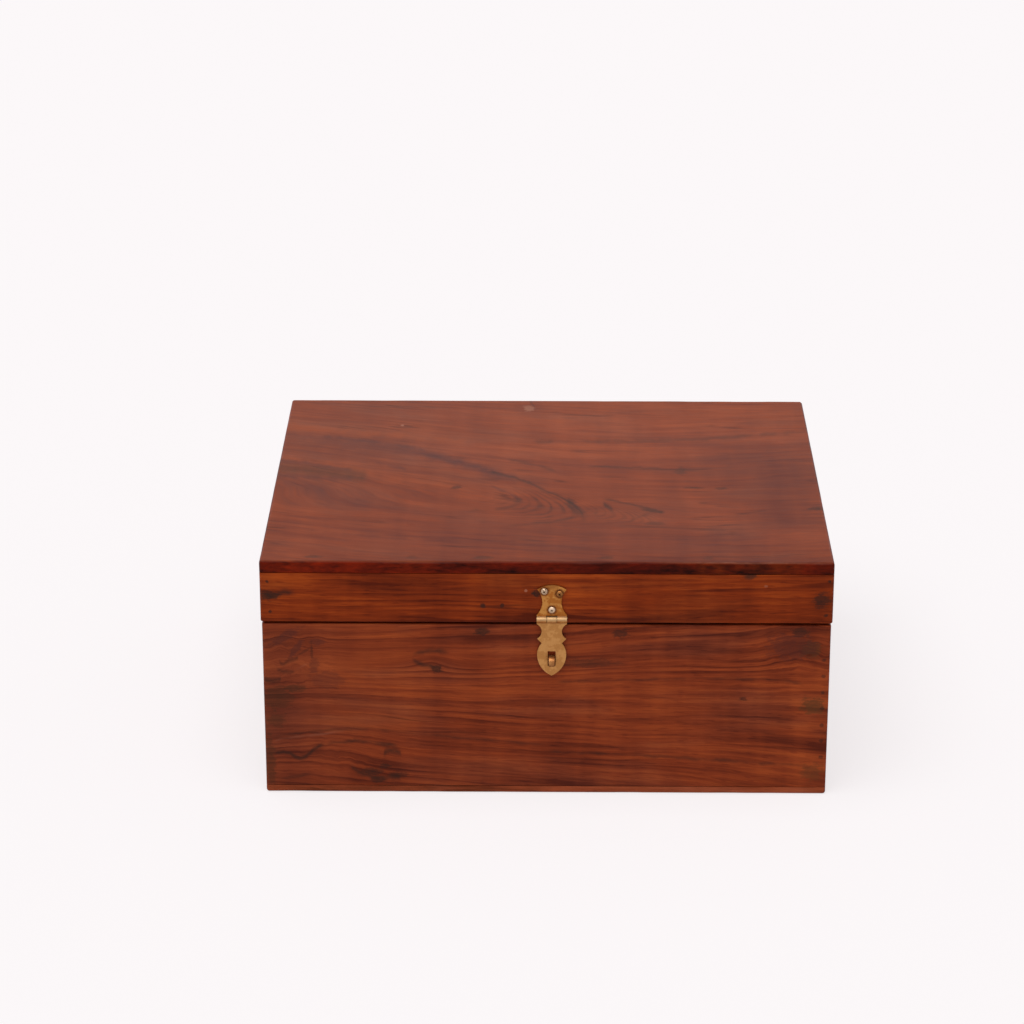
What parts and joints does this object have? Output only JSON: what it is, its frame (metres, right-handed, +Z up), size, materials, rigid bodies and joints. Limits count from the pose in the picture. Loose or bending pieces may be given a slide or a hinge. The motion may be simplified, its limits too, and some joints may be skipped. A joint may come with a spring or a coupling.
{
  "type": "jewellery box",
  "caption": "Rectangular stained-wood jewellery box with a lid hinged at the back and a shaped brass hasp whose slotted strap closes over a staple at the front.",
  "frame": {"origin": "middle of the underside", "axes": "+X to the right along the front, +Y to the back where the hinges are, +Z up"},
  "size_m": [0.3062, 0.2661, 0.1365],
  "materials": {
    "stained_wood": "red-brown stain under a satin varnish",
    "bottom_wood": "thin stain, mostly bare underneath",
    "hasp_brass": "dull lacquered brass, tarnished",
    "hinge_brass": "satin brass",
    "screw_steel": "dull steel",
    "nail_iron": "dark iron, heads filled over"
  },
  "bodies": {
    "box": {"front_board": "stained_wood", "back_board": "stained_wood", "left_side_board": "stained_wood", "right_side_board": "stained_wood", "bottom_board": "bottom_wood", "hasp_staple": "hasp_brass", "left_hinge_box_leaf": "hinge_brass", "left_hinge_pin": "screw_steel", "left_hinge_box_screw_1": "screw_steel", "left_hinge_box_screw_2": "screw_steel", "right_hinge_box_leaf": "hinge_brass", "right_hinge_pin": "screw_steel", "right_hinge_box_screw_1": "screw_steel", "right_hinge_box_screw_2": "screw_steel", "front_left_nail_1": "nail_iron", "front_left_nail_2": "nail_iron", "front_left_nail_3": "nail_iron", "front_right_nail_1": "nail_iron", "front_right_nail_2": "nail_iron", "front_right_nail_3": "nail_iron", "back_left_nail_1": "nail_iron", "back_left_nail_2": "nail_iron", "back_left_nail_3": "nail_iron", "back_right_nail_1": "nail_iron", "back_right_nail_2": "nail_iron", "back_right_nail_3": "nail_iron", "bottom_front_left_nail": "nail_iron", "bottom_front_right_nail": "nail_iron", "bottom_back_left_nail": "nail_iron", "bottom_back_right_nail": "nail_iron"},
    "lid": {"lid_top_board": "stained_wood", "lid_front_rail": "stained_wood", "lid_back_rail": "stained_wood", "lid_left_rail": "stained_wood", "lid_right_rail": "stained_wood", "left_hinge_lid_leaf": "hinge_brass", "left_hinge_lid_screw_1": "screw_steel", "left_hinge_lid_screw_2": "screw_steel", "right_hinge_lid_leaf": "hinge_brass", "right_hinge_lid_screw_1": "screw_steel", "right_hinge_lid_screw_2": "screw_steel", "hasp_plate": "hasp_brass", "hasp_pin": "screw_steel", "hasp_screw_left": "screw_steel", "hasp_screw_right": "screw_steel", "hasp_screw_lower": "screw_steel", "lid_front_left_nail": "nail_iron", "lid_front_right_nail": "nail_iron", "lid_back_left_nail": "nail_iron", "lid_back_right_nail": "nail_iron", "top_front_nail_1": "nail_iron", "top_front_nail_2": "nail_iron", "top_front_nail_3": "nail_iron", "top_front_nail_4": "nail_iron", "top_front_nail_5": "nail_iron", "top_back_nail_1": "nail_iron", "top_back_nail_2": "nail_iron", "top_back_nail_3": "nail_iron"},
    "strap": {"hasp_strap": "hasp_brass"}
  },
  "joints": [
    {"name": "lid_hinge", "type": "hinge", "parent": "box", "child": "lid", "pos_m": [0, 0.1303, 0.1008], "axis": [-1, 0, 0], "range_deg": [0, 180]},
    {"name": "strap_hinge", "type": "hinge", "parent": "lid", "child": "strap", "pos_m": [0.0029, -0.1296, 0.1042], "axis": [-1, 0, 0], "range_deg": [0, 170]}
  ]
}
